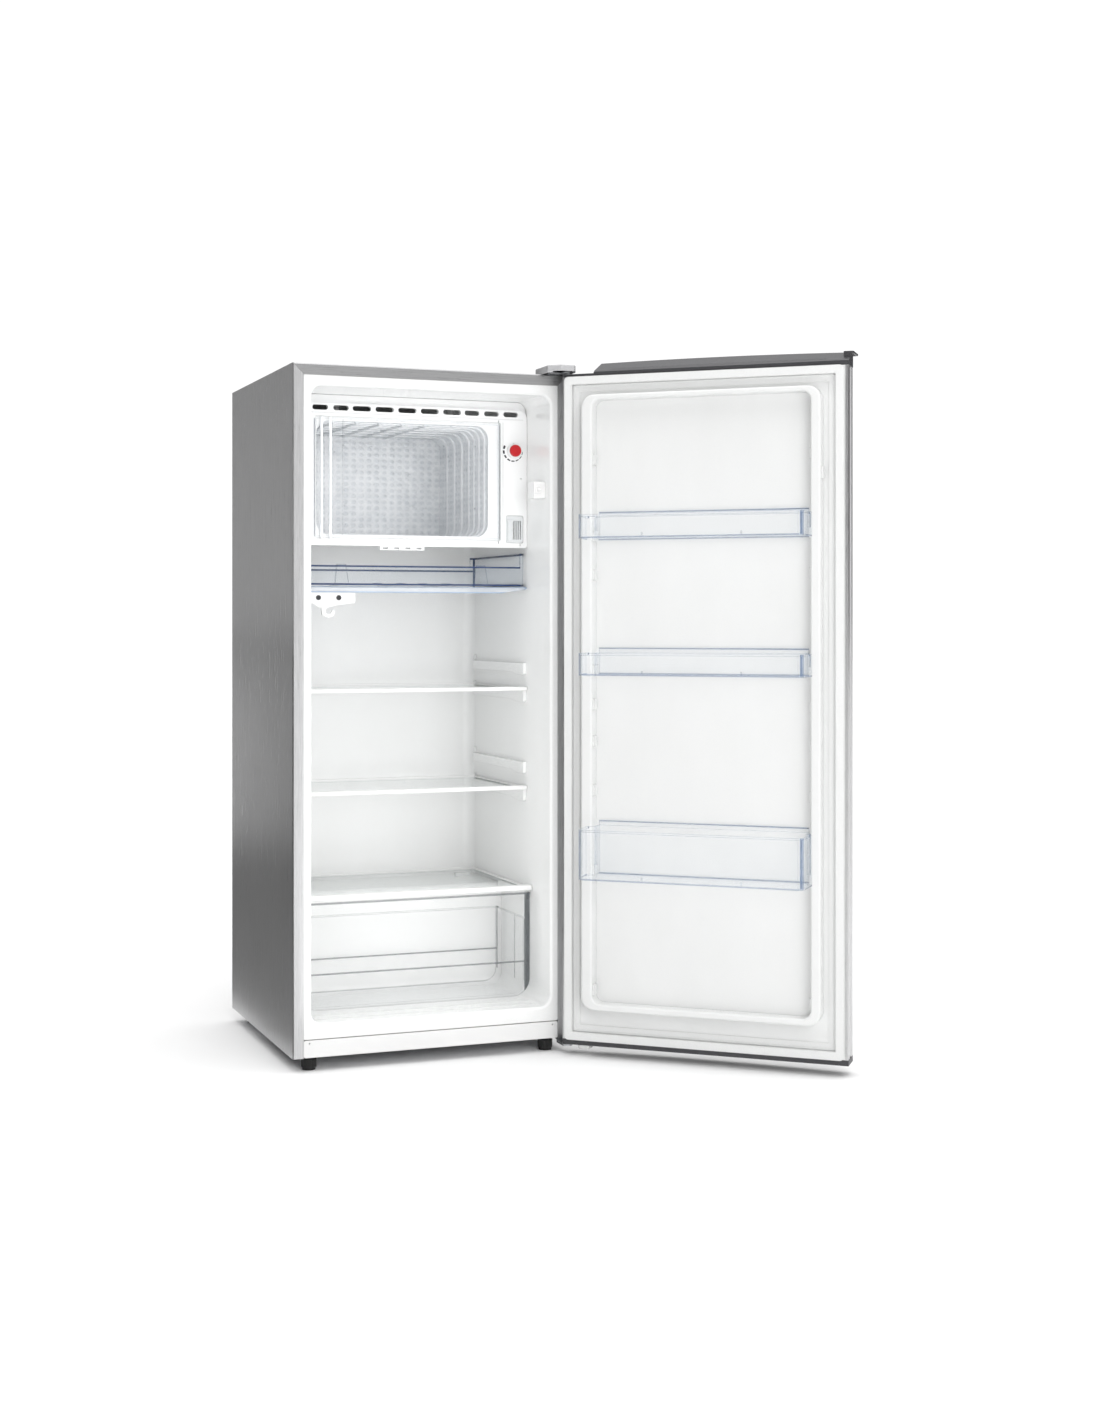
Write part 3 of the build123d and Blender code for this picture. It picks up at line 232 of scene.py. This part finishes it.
def coated_steel(name, color, grain=(700, 700, 18), metallic=0.9, roughness=0.32):
    """Silver coil-coated steel: a fine brushed grain with a metal-flake sparkle."""
    shader = Shader(name, color, roughness, metallic)
    brushed = shader.noise(grain, 4.0, 0.6)
    flake = shader.noise((2600, 2600, 2600), 2.0, 0.7)
    cloud = shader.noise((3, 3, 3), 2.0)
    tone = shader.math("ADD", shader.math("MULTIPLY", brushed, 0.5), shader.math("MULTIPLY", flake, 0.5))
    tone = shader.math("ADD", shader.math("MULTIPLY", tone, 0.9), shader.math("MULTIPLY", cloud, 0.1))
    shader.feed(shader.ramp(tone, shade(color, 0.80), shade(color, 1.18), 0.36, 0.64), "Base Color")
    shader.feed(shader.span(brushed, 0.3, 0.7, roughness - 0.06, roughness + 0.08), "Roughness")
    shader.bump(brushed, 0.10, 0.0002)
    shader.bump(flake, 0.12, 0.0001)
    return shader.material


def moulded(name, color, roughness=0.32, grain=900, depth=0.06, coat=0.0, edge_shade_width=0.0):
    """Moulded or vacuum-formed plastic: faint flow marks, a fine orange peel, a soft gloss and painted shade along
    its edges and bends.
    """
    shader = Shader(name, color, roughness)
    flow = shader.noise((6, 6, 2.5), 3.0)
    peel = shader.noise((grain, grain, grain), 2.0)
    tone = shader.ramp(flow, shade(color, 0.97), shade(color, 1.015))
    if edge_shade_width:
        # Painted shade: edges and bends are darkened in the base colour, standing in for the shade they catch.
        tone = shader.mix(shader.math("MULTIPLY", shader.rims(edge_shade_width * MM), 0.6), tone, shade(color, 0.55))
    shader.feed(tone, "Base Color")
    shader.feed(shader.span(peel, 0.3, 0.7, roughness - 0.04, roughness + 0.05), "Roughness")
    shader.bump(peel, depth, 0.0002)
    if coat:
        shader.set("Coat Weight", coat)
        shader.set("Coat Roughness", 0.08)
    return shader.material


def clear_plastic(name, color, rim, face, edge, box=None, turn=0.0, width=2.6, corner=4.5, levels=(), strength=0.7):
    """Clear moulded plastic or glass: see-through face on, denser along a wall, and with painted lines along its
    rims for the refraction and reflection at clear edges, partly the plastic's own tint seen edge on.
    """
    shader = Shader(name, color, 0.05)
    facing = shader.nodes.new("ShaderNodeLayerWeight")
    facing.inputs["Blend"].default_value = 0.5
    grazing = shader.math("POWER", facing.outputs["Facing"], 3.0)
    flow = shader.noise((14, 14, 14), 2.0)
    # Painted rim lines: the rim colour and a denser alpha along the edges and bands, standing in for refraction and
    # reflection at clear edges.
    painted_rim_lines = shader.rims(1.5 * MM)
    if box:
        painted_rim_lines = shader.math("MAXIMUM", painted_rim_lines, shader.outline(box, turn, width, corner, levels))
    share = shader.math("ADD", shader.math("MULTIPLY", grazing, edge - face), shader.math("MULTIPLY", flow, 0.012))
    clear = shader.math("ADD", share, face)
    shader.feed(shader.math("MAXIMUM", clear, shader.math("MULTIPLY", painted_rim_lines, strength)), "Alpha")
    body = shader.ramp(flow, shade(color, 0.96), color)
    shader.feed(shader.mix(painted_rim_lines, body, rim), "Base Color")
    shader.set("IOR", 1.49)
    shader.set("Specular IOR Level", 0.6)
    shader.bump(shader.noise((60, 60, 60), 2.0), 0.03, 0.0006)
    return shader.material


def ice_aluminium(name):
    """The ice box: milky rolled aluminium with rows of small pressed dots, painted shade in the dots and painted
    highlights along its rib crests.
    """
    shader = Shader(name, (0.80, 0.82, 0.84), 0.34, 0.35)
    dots = shader.nodes.new("ShaderNodeTexVoronoi")
    dots.feature = "F1"
    dots.inputs["Scale"].default_value = 1.0
    dots.inputs["Randomness"].default_value = 0.0
    shader.links.new(shader.flattened((62, 62, 84)), dots.inputs["Vector"])
    dot = shader.span(dots.outputs["Distance"], 0.24, 0.36, 1.0, 0.0)
    frost = shader.noise((90, 90, 90), 5.0, 0.7)
    streak = shader.noise((30, 6, 30), 3.0)
    tone = shader.math("ADD", shader.math("MULTIPLY", frost, 0.45), shader.math("MULTIPLY", streak, 0.35))
    # Painted shade: the pressed dots are darkened in the colour.
    tone = shader.math("SUBTRACT", tone, shader.math("MULTIPLY", dot, 0.11))
    depth = shader.nodes.new("ShaderNodeSeparateXYZ")
    shader.links.new(shader.place, depth.inputs["Vector"])
    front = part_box("evaporator")[0][1]
    # Painted highlights: a lighter band along each rib crest.
    for rib in ICE_BOX_RIBS:
        crest_highlight = slab(shader.material.node_tree, depth.outputs["Y"], front + rib * MM, ICE_BOX_RIB_HALF * MM)
        tone = shader.math("ADD", tone, shader.math("MULTIPLY", crest_highlight, 0.60))
    tone = shader.ramp(tone, (0.56, 0.59, 0.62), (0.98, 0.985, 0.99), 0.08, 0.56)
    shader.feed(tone, "Base Color")
    shader.feed(shader.span(frost, 0.3, 0.7, 0.26, 0.42), "Roughness")
    shader.bump(dot, 0.5, 0.0008)
    shader.bump(frost, 0.08, 0.0003)
    return shader.material


def rubbery(name, color, roughness=0.6):
    """Matt rubber with a fine grain."""
    shader = Shader(name, color, roughness)
    grain = shader.noise((1400, 1400, 1400), 3.0)
    shader.feed(shader.ramp(grain, shade(color, 0.85), color), "Base Color")
    shader.bump(grain, 0.12, 0.0002)
    shader.set("Specular IOR Level", 0.35)
    return shader.material


def bare_metal(name, color, roughness=0.35):
    """Uncoated metal, drawn along one axis and a little stained."""
    shader = Shader(name, color, roughness, 1.0)
    grain = shader.noise((500, 60, 500), 4.0)
    stain = shader.noise((70, 70, 70), 5.0)
    shader.feed(shader.ramp(stain, shade(color, 0.84), color, 0.35, 0.65), "Base Color")
    shader.feed(shader.span(grain, 0.3, 0.7, roughness - 0.08, roughness + 0.12), "Roughness")
    shader.bump(grain, 0.1, 0.0002)
    return shader.material


def foam(name):
    """Cream insulation foam with open cells."""
    shader = Shader(name, (0.78, 0.68, 0.42), 0.8)
    cells = shader.noise((400, 400, 400), 6.0)
    shader.feed(shader.ramp(cells, (0.62, 0.52, 0.30), (0.85, 0.76, 0.50)), "Base Color")
    shader.bump(cells, 0.4, 0.0008)
    return shader.material


# ---------------------------------------------------------------- what each piece is made of
steel_upright = coated_steel("coated_steel", (0.61, 0.61, 0.615))
# The top panel is the same steel as the sides in a darker colour: painted shade for the top.
steel_level_shaded = coated_steel("coated_steel_level_shaded", (0.42, 0.42, 0.425), grain=(18, 700, 700))
zinc = bare_metal("zinc_steel", (0.60, 0.61, 0.63))
liner_white = moulded("liner_white", (0.86, 0.865, 0.86), 0.26, coat=0.25, edge_shade_width=2.0)
door_white = moulded("door_liner_white", (0.79, 0.795, 0.79), 0.30, coat=0.15, edge_shade_width=2.0)
trim_white = moulded("trim_white", (0.83, 0.83, 0.825), 0.30, edge_shade_width=1.2)
frame_white = moulded("frame_white", (0.82, 0.825, 0.825), 0.34, edge_shade_width=1.4)
seal_white = rubbery("seal_white", (0.84, 0.845, 0.84), 0.55)
cap_grey = coated_steel("cap_grey", (0.07, 0.07, 0.075), grain=(20, 500, 500), metallic=0.3, roughness=0.42)
cover_silver = moulded("hinge_cover_silver", (0.50, 0.50, 0.51), 0.34, coat=0.2)
rubber_black = rubbery("rubber_black", (0.025, 0.025, 0.025))
plastic_black = moulded("plastic_black", (0.03, 0.03, 0.032), 0.42)
painted_black = moulded("compressor_black", (0.028, 0.028, 0.03), 0.30, grain=500, depth=0.12)
copper = bare_metal("copper", (0.85, 0.46, 0.30), 0.28)
red = moulded("button_red", (0.46, 0.004, 0.008), 0.35)
foam_cream = foam("foam_cream")
flap_clear = clear_plastic(
    "flap_clear", (0.72, 0.79, 0.86), (0.12, 0.15, 0.19), 0.02, 0.30, "freezer_door",
    width=1.6, corner=1.6, strength=0.42,
)
tray_clear = clear_plastic(
    "tray_clear", (0.58, 0.69, 0.82), (0.01, 0.03, 0.10), 0.03, 0.20, "chill_tray",
    width=3.4, corner=6.0, levels=(35.5,), strength=0.95,
)
drawer_clear = clear_plastic(
    "drawer_clear", (0.70, 0.73, 0.75), (0.06, 0.07, 0.08), 0.008, 0.14, "crisper_drawer",
    width=3.0, corner=10.0, levels=(66.2,), strength=0.65,
)
lamp_clear = clear_plastic("lamp_clear", (0.80, 0.82, 0.83), (0.55, 0.57, 0.58), 0.75, 0.95)
rail_clear = clear_plastic(
    "rail_clear", (0.84, 0.88, 0.93), (0.30, 0.40, 0.55), 0.30, 0.60, "tray_support", strength=0.6,
)
shelf_glass = clear_plastic("shelf_glass", (0.74, 0.80, 0.79), (0.30, 0.42, 0.40), 0.04, 0.22)
bulb_glass = clear_plastic("bulb_glass", (0.92, 0.92, 0.88), (0.85, 0.85, 0.80), 0.55, 0.95)
ice = ice_aluminium("ice_aluminium")


def paint_grip_highlights(material):
    """Paints the flap's two upright grip ribs white and nearly opaque: painted highlights for the light the round
    ribs catch.
    """
    tree = material.node_tree
    principled = tree.nodes["Principled BSDF"]
    parts = tree.nodes.new("ShaderNodeSeparateXYZ")
    tree.links.new(tree.nodes.new("ShaderNodeTexCoord").outputs["Object"], parts.inputs["Vector"])
    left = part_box("freezer_door")[0][0]
    both = tree.nodes.new("ShaderNodeMath")
    both.operation = "MAXIMUM"
    for number, rib in enumerate(FLAP_RIBS):
        rib_highlight = slab(tree, parts.outputs["X"], left + rib * MM, FLAP_RIB_HALF * MM)
        tree.links.new(rib_highlight, both.inputs[number])
    # Painted highlight: the rib bands turn white and nearly opaque.
    for socket, value in (("Alpha", 0.9), ("Base Color", (0.93, 0.95, 0.97, 1.0))):
        mix = tree.nodes.new("ShaderNodeMix")
        mix.data_type = "FLOAT" if socket == "Alpha" else "RGBA"
        low, high, result = (2, 3, 0) if socket == "Alpha" else (6, 7, 2)
        tree.links.new(both.outputs["Value"], mix.inputs[0])
        tree.links.new(principled.inputs[socket].links[0].from_socket, mix.inputs[low])
        mix.inputs[high].default_value = value
        tree.links.new(mix.outputs[result], principled.inputs[socket])


paint_grip_highlights(flap_clear)

WEARS = {
    steel_upright: ("side_panel_left", "side_panel_right", "door_outer_panel"),
    steel_level_shaded: ("top_panel",),
    zinc: (
        "back_panel", "bay_panel", "base_frame", "cabinet_screws", "top_hinge_bracket", "lower_hinge_bracket",
        "compressor_plate", "mount_bolts",
    ),
    liner_white: ("inner_liner",),
    door_white: ("door_liner",),
    frame_white: ("freezer_frame",),
    trim_white: (
        "kick_plate", "evaporator_hangers", "thermostat_body", "thermostat_dial", "lamp_holder", "switch_housing",
        "switch_plunger", "hook_bracket", "shelf_upper_trim", "shelf_lower_trim", "crisper_cover_trim", "door_stop",
        "hinge_bushes",
    ),
    foam_cream: ("cabinet_foam", "door_foam"),
    cap_grey: ("door_top_cap", "door_bottom_cap"),
    cover_silver: ("top_hinge_cover",),
    rubber_black: ("rear_feet", "front_foot_left", "front_foot_right", "compressor_mounts"),
    plastic_black: ("bracket_screws", "relay_cover", "drain_pan", "terminal_box", "cord_gland"),
    painted_black: ("compressor",),
    seal_white: ("door_gasket",),
    ice: ("evaporator",),
    flap_clear: ("freezer_door",),
    tray_clear: ("chill_tray",),
    rail_clear: ("tray_support",),
    drawer_clear: ("crisper_drawer",),
    lamp_clear: ("lamp_cover",),
    shelf_glass: ("shelf_upper_glass", "shelf_lower_glass", "crisper_cover_glass"),
    bulb_glass: ("lamp_bulb",),
    red: ("defrost_button",),
    copper: ("filter_drier", "refrigerant_tubes"),
}
for bin_name in ("door_bin_top", "door_bin_middle", "door_bin_bottom"):
    bin_clear = clear_plastic(
        bin_name + "_clear", (0.66, 0.76, 0.86), (0.10, 0.18, 0.33), 0.008, 0.14, bin_name,
        turn=-math.radians(DOOR_OPEN), width=2.4, corner=9.0, strength=0.52,
    )
    WEARS[bin_clear] = (bin_name,)
for material, names in WEARS.items():
    for name in names:
        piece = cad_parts[name]
        for slot in piece.material_slots:
            slot.material = material


# ---------------------------------------------------------------- printed scale round the dial
def dial_scale():
    """Arc marks on the frame round the dial, widest above nine o'clock and narrower anticlockwise."""
    low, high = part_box("defrost_button")
    centre = ((low[0] + high[0]) / 2, (low[2] + high[2]) / 2)
    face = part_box("freezer_frame")[0][1]
    vertices, faces = [], []
    for mark in range(SCALE_MARKS):
        start = math.radians(SCALE_START + mark * SCALE_PITCH)
        end = start + math.radians(SCALE_LENGTH)
        for step in range(SCALE_STEPS + 1):
            angle = start + (end - start) * step / SCALE_STEPS
            width = (SCALE_WIDEST - SCALE_NARROWING * (mark + step / SCALE_STEPS) / SCALE_MARKS) * MM
            for radius in (SCALE_RADIUS * MM, SCALE_RADIUS * MM + width):
                for y in (face - 0.15 * MM, face + 0.05 * MM):
                    vertices.append((centre[0] + radius * math.cos(angle), y, centre[1] + radius * math.sin(angle)))
        first = len(vertices) - 4 * (SCALE_STEPS + 1)
        for step in range(SCALE_STEPS):
            a = first + 4 * step
            b = a + 4
            faces += [(a, b, b + 2, a + 2), (a + 1, a + 3, b + 3, b + 1)]
            faces += [(a, a + 1, b + 1, b), (a + 2, b + 2, b + 3, a + 3)]
        faces += [(first, first + 2, first + 3, first + 1), (b, b + 1, b + 3, b + 2)]
    mesh = bpy.data.meshes.new("dial_scale")
    mesh.from_pydata(vertices, [], faces)
    mesh.update()
    scale = bpy.data.objects.new("dial_scale", mesh)
    bpy.context.collection.objects.link(scale)
    scale.data.materials.append(moulded("scale_ink", (0.02, 0.022, 0.03), 0.5))
    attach(scale, "cabinet")


dial_scale()


# ---------------------------------------------------------------- studio
def studio_floor():
    """A pale matt floor; with no gloss it can't mirror the cards."""
    shader = Shader("studio_floor", (0.93, 0.93, 0.93), 0.55)
    mottle = shader.noise((1.5, 1.5, 1.5), 3.0)
    shader.feed(shader.ramp(mottle, (0.965, 0.965, 0.965), (0.98, 0.98, 0.98)), "Base Color")
    shader.set("Specular IOR Level", 0.0)
    bpy.ops.mesh.primitive_plane_add(size=60, location=(0, 0, -0.0002))
    floor = bpy.context.active_object
    floor.name = "studio_floor"
    floor.data.materials.append(shader.material)


def studio_world():
    """Light from all round, brightest overhead and dim at the far left and right; the camera sees plain white."""
    world = bpy.data.worlds.new("studio")
    bpy.context.scene.world = world
    world.use_nodes = True
    nodes, links = world.node_tree.nodes, world.node_tree.links
    direction = nodes.new("ShaderNodeTexCoord").outputs["Generated"]
    parts = nodes.new("ShaderNodeSeparateXYZ")
    links.new(direction, parts.inputs["Vector"])

    def swing(axis, start, end, low, high):
        node = nodes.new("ShaderNodeMapRange")
        node.interpolation_type = "SMOOTHSTEP"
        for socket, value in (("From Min", start), ("From Max", end), ("To Min", low), ("To Max", high)):
            node.inputs[socket].default_value = value
        links.new(parts.outputs[axis], node.inputs["Value"])
        return node.outputs["Result"]

    def combine(operation, a, b):
        node = nodes.new("ShaderNodeMath")
        node.operation = operation
        links.new(a, node.inputs[0])
        links.new(b, node.inputs[1])
        return node.outputs["Value"]

    walls = combine("MULTIPLY", swing("Y", -0.25, 0.15, 0.88, 0.60), swing("X", -0.45, -0.04, 0.12, 1.0))
    walls = combine("MULTIPLY", walls, swing("X", 0.32, 0.72, 1.0, 0.10))
    light = combine("MAXIMUM", walls, swing("Z", 0.46, 0.80, 0.0, 1.75))
    seen = nodes.new("ShaderNodeMix")
    seen.inputs["B"].default_value = BACKDROP_BRIGHTNESS
    links.new(nodes.new("ShaderNodeLightPath").outputs["Is Camera Ray"], seen.inputs["Factor"])
    links.new(light, seen.inputs["A"])
    links.new(seen.outputs["Result"], nodes["Background"].inputs["Strength"])
    nodes["Background"].inputs["Color"].default_value = WHITE


def softbox(name, place, target, width, height, watts, mirrored=True):
    """A rectangular light that the camera doesn't see; mirrored says whether reflections do."""
    light = bpy.data.lights.new(name, "AREA")
    light.shape = "RECTANGLE"
    light.size = width
    light.size_y = height
    light.energy = watts
    lamp = bpy.data.objects.new(name, light)
    lamp.location = place
    lamp.rotation_euler = (Vector(target) - Vector(place)).to_track_quat("-Z", "Y").to_euler()
    lamp.visible_camera = False
    lamp.visible_glossy = mirrored
    bpy.context.collection.objects.link(lamp)


studio_floor()
studio_world()
softbox("front_fill", (0.0, -3.2, 1.2), (0.0, 0.0, 0.65), 1.6, 1.6, 26, mirrored=False)
softbox("cavity_fill", (-0.02, -0.262, 0.65), (-0.02, 0.2, 0.64), 0.44, 1.12, 0.72)
softbox("overhead", (0.2, -0.8, 3.2), (0.1, -0.3, 0.6), 2.2, 2.2, 10)


def reflection_card(name, place, tilt, size, glow):
    """A dim card behind and left of the cabinet that only reflections meet, for the steel to mirror."""
    shader = Shader(name, (0.004, 0.004, 0.004), 0.9)
    grain = shader.noise((8, 8, 8), 2.0)
    shader.feed(shader.ramp(grain, (0.003, 0.003, 0.003), (0.005, 0.005, 0.005)), "Base Color")
    shader.set("Emission Color", WHITE)
    shader.set("Emission Strength", glow)
    bpy.ops.mesh.primitive_plane_add(size=1, location=place, rotation=(0, tilt, 0))
    card = bpy.context.active_object
    card.name = name
    card.scale = (*size, 1.0)
    card.data.materials.append(shader.material)
    card.visible_camera = False
    card.visible_diffuse = False
    card.visible_shadow = False
    card.visible_transmission = False


reflection_card("upright_card", (-1.05, 1.0, 0.36), math.pi / 2, (0.72, 4.6), 0.02)
reflection_card("floor_card", (-1.32, 1.0, 0.002), 0.0, (2.0, 4.6), 0.125)


def camera():
    """A level camera in front of the cabinet and to its left, at the middle of its height."""
    data = bpy.data.cameras.new("camera")
    data.sensor_fit = "AUTO"
    data.sensor_width = 36.0
    data.lens = CAMERA_LENS
    data.shift_x, data.shift_y = CAMERA_SHIFT
    holder = bpy.data.objects.new("camera", data)
    holder.location = CAMERA_PLACE
    holder.rotation_euler = Vector(CAMERA_AIM).to_track_quat("-Z", "Y").to_euler()
    bpy.context.collection.objects.link(holder)
    bpy.context.scene.camera = holder


camera()
bpy.context.scene.view_settings.view_transform = "Standard"
bpy.context.scene.view_settings.look = "None"
bpy.context.scene.cycles.transparent_max_bounces = 32  # rays pass many clear walls before they reach the backdrop
